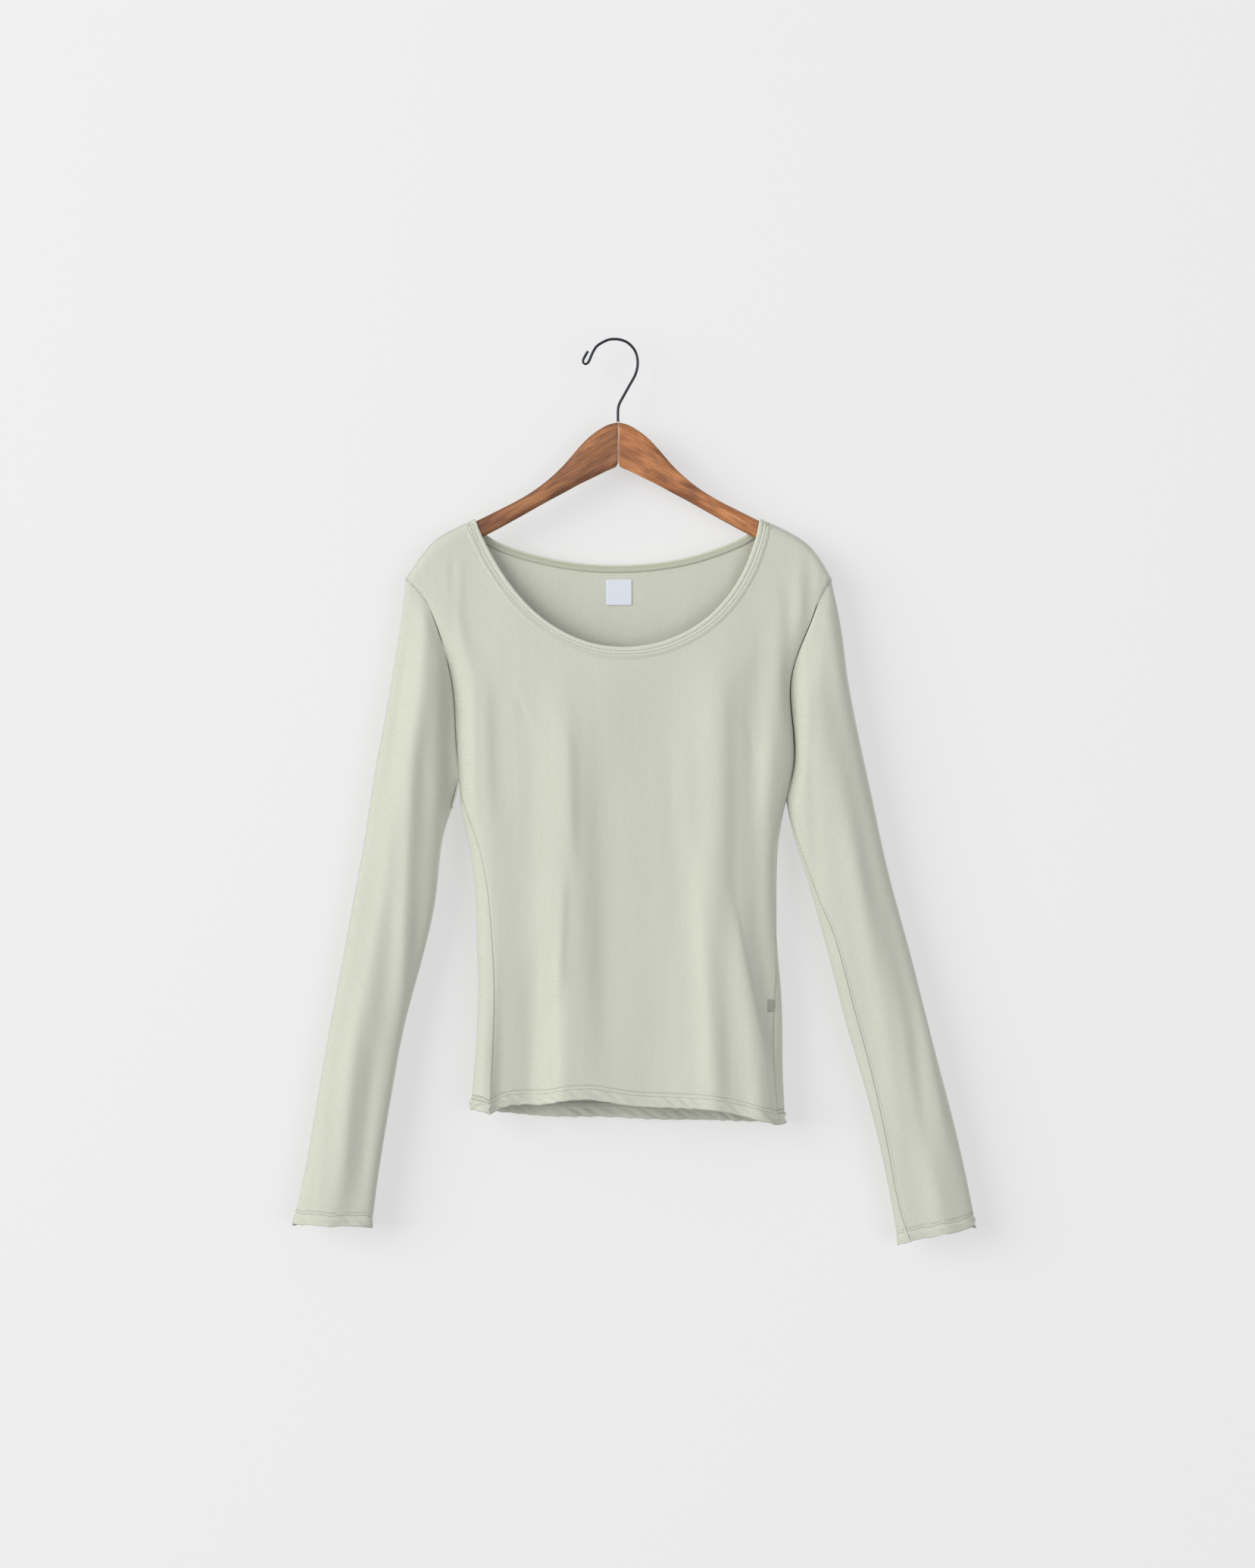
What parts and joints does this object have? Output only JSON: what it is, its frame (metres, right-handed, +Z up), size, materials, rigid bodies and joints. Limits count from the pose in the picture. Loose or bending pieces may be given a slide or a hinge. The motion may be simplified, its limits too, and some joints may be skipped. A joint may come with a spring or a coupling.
{
  "type": "jersey top on a hanger",
  "caption": "Long-sleeved scoop-neck jersey top hanging nearly flat from a slim wooden hanger with a bent wire hook.",
  "frame": {"origin": "top of the inside of the hook's bend, where a peg or rail carries the hanger", "axes": "+Z up, front of the garment faces -Y, +X to the right as seen from the front"},
  "size_m": [0.6863, 0.0532, 0.9112],
  "materials": {
    "jersey": "matte fine jersey knit, pale grey-green",
    "band": "matte folded jersey binding, twin-stitched",
    "label": "matte woven ribbon, bare",
    "tag": "matte woven ribbon, bare",
    "wood": "brown stained, satin",
    "wire": "blue-black, satin"
  },
  "bodies": {
    "root": {"front_panel": "jersey", "back_panel": "jersey", "sleeve_left": "jersey", "sleeve_right": "jersey", "neck_band": "band", "neck_label": "label", "side_tag": "tag", "hanger_arm_left": "wood", "hanger_arm_right": "wood", "hook": "wire"}
  },
  "joints": []
}
